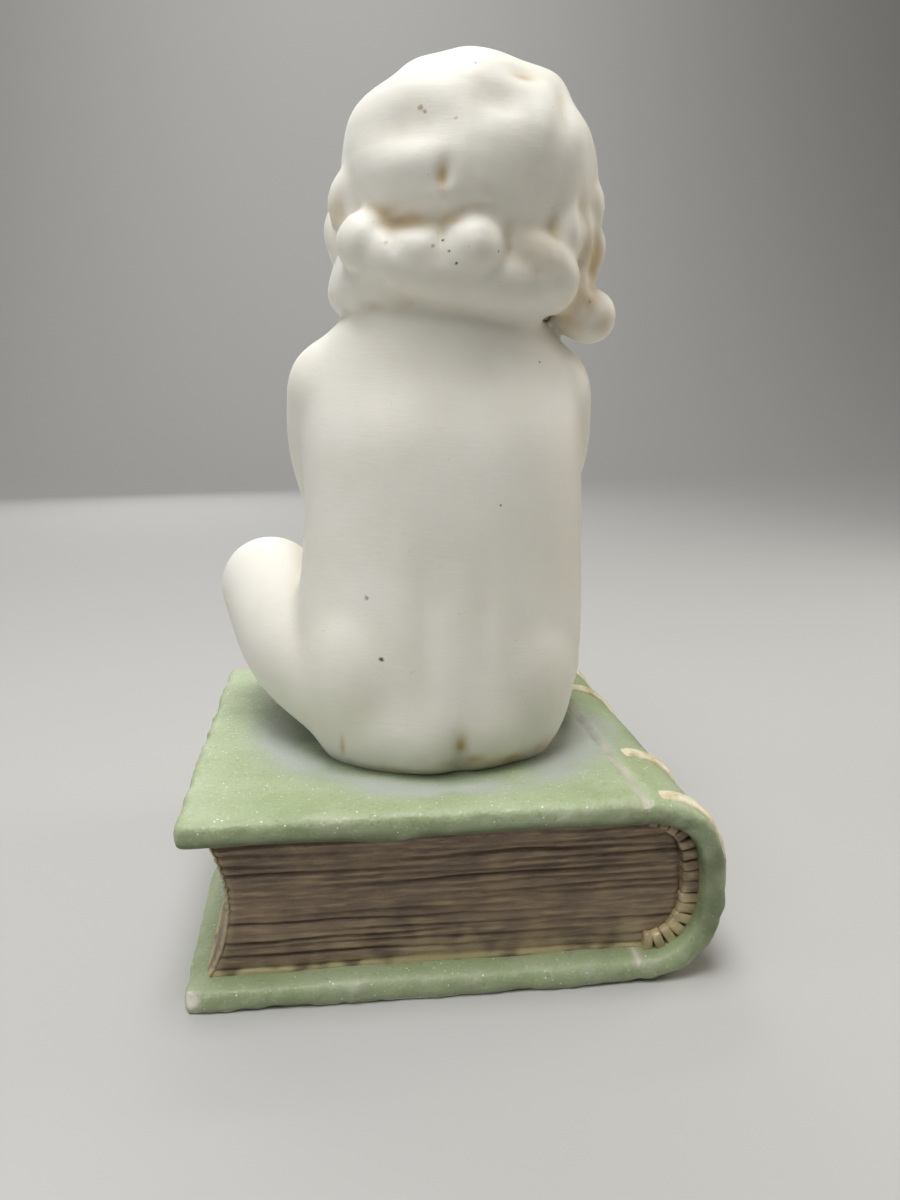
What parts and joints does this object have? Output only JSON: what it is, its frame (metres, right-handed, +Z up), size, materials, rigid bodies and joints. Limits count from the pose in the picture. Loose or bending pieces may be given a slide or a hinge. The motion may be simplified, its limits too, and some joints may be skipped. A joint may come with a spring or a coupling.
{
  "type": "bisque figurine",
  "caption": "Unglazed white porcelain child with bobbed curly hair, seated cross-legged on a closed green book with raised bands on its spine.",
  "frame": {"origin": "centre of the underside of the figurine's bounding box, on the surface that it stands on", "axes": "+Z up; the child faces -Y; its left side and the book's fore-edge are at +X, and the book's spine at -X"},
  "size_m": [0.076, 0.0746, 0.1295],
  "materials": {
    "bisque": "unglazed white bisque porcelain, fine satin-matt, with yellow-brown stain in the creases",
    "painted_bisque": "bisque porcelain painted sage green on the case, gold-brown on the page edges and cream-gold on the raised bands"
  },
  "bodies": {
    "root": {"child_figure": "bisque", "book_base": "painted_bisque"}
  },
  "joints": []
}
